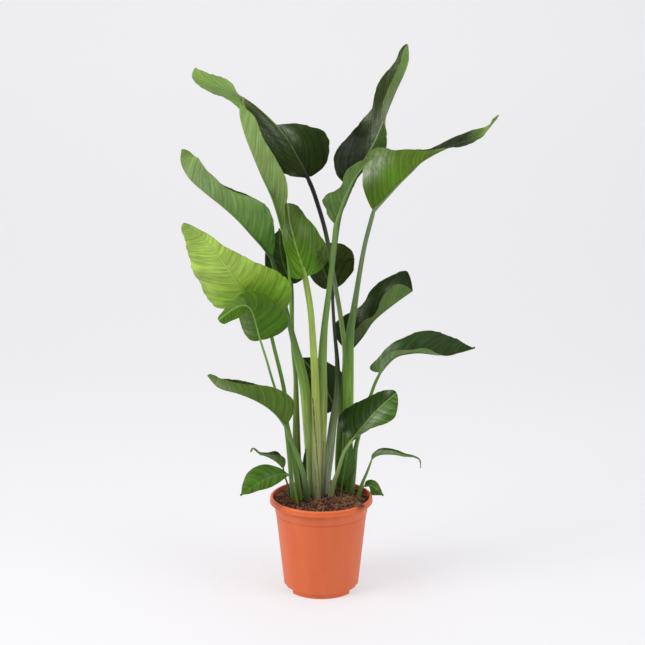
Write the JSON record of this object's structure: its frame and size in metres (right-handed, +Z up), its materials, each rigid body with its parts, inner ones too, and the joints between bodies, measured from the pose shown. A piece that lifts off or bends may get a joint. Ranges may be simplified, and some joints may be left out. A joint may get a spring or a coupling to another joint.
{
  "type": "potted plant",
  "caption": "Tall potted bird of paradise: long upright paddle leaves on sheathed stalks, standing in dark soil in a round terracotta-coloured nursery pot.",
  "frame": {"origin": "middle of the plant's box from left to right and from front to back, on the surface that the pot stands on", "axes": "+Z up, the front of the plant towards -Y, +X to the right as seen from the front"},
  "size_m": [0.6886, 0.2784, 1.2533],
  "materials": {
    "pot": "moulded terracotta-orange plastic with a soft sheen",
    "soil": "dark brown moist peat soil with lighter bark fibres",
    "leaf": "smooth leathery green leaf, glossy above and duller and lighter below"
  },
  "bodies": {
    "root": {"pot": "pot", "soil": "soil", "leaf_top_left": "leaf", "leaf_upright_left": "leaf", "leaf_top_right": "leaf", "leaf_inner_right": "leaf", "leaf_upper_right": "leaf", "leaf_upper_left": "leaf", "leaf_centre": "leaf", "leaf_bright_left": "leaf", "leaf_curled_left": "leaf", "leaf_back_left": "leaf", "leaf_back_centre": "leaf", "leaf_back_right": "leaf", "leaf_mid_right": "leaf", "leaf_low_right": "leaf", "leaf_low_left": "leaf", "leaf_rim_left": "leaf", "leaf_rim_left_small": "leaf", "leaf_rim_right": "leaf", "leaf_rim_right_small": "leaf", "leaf_inner_back": "leaf", "sheath_left": "leaf", "sheath_right": "leaf"}
  },
  "joints": []
}
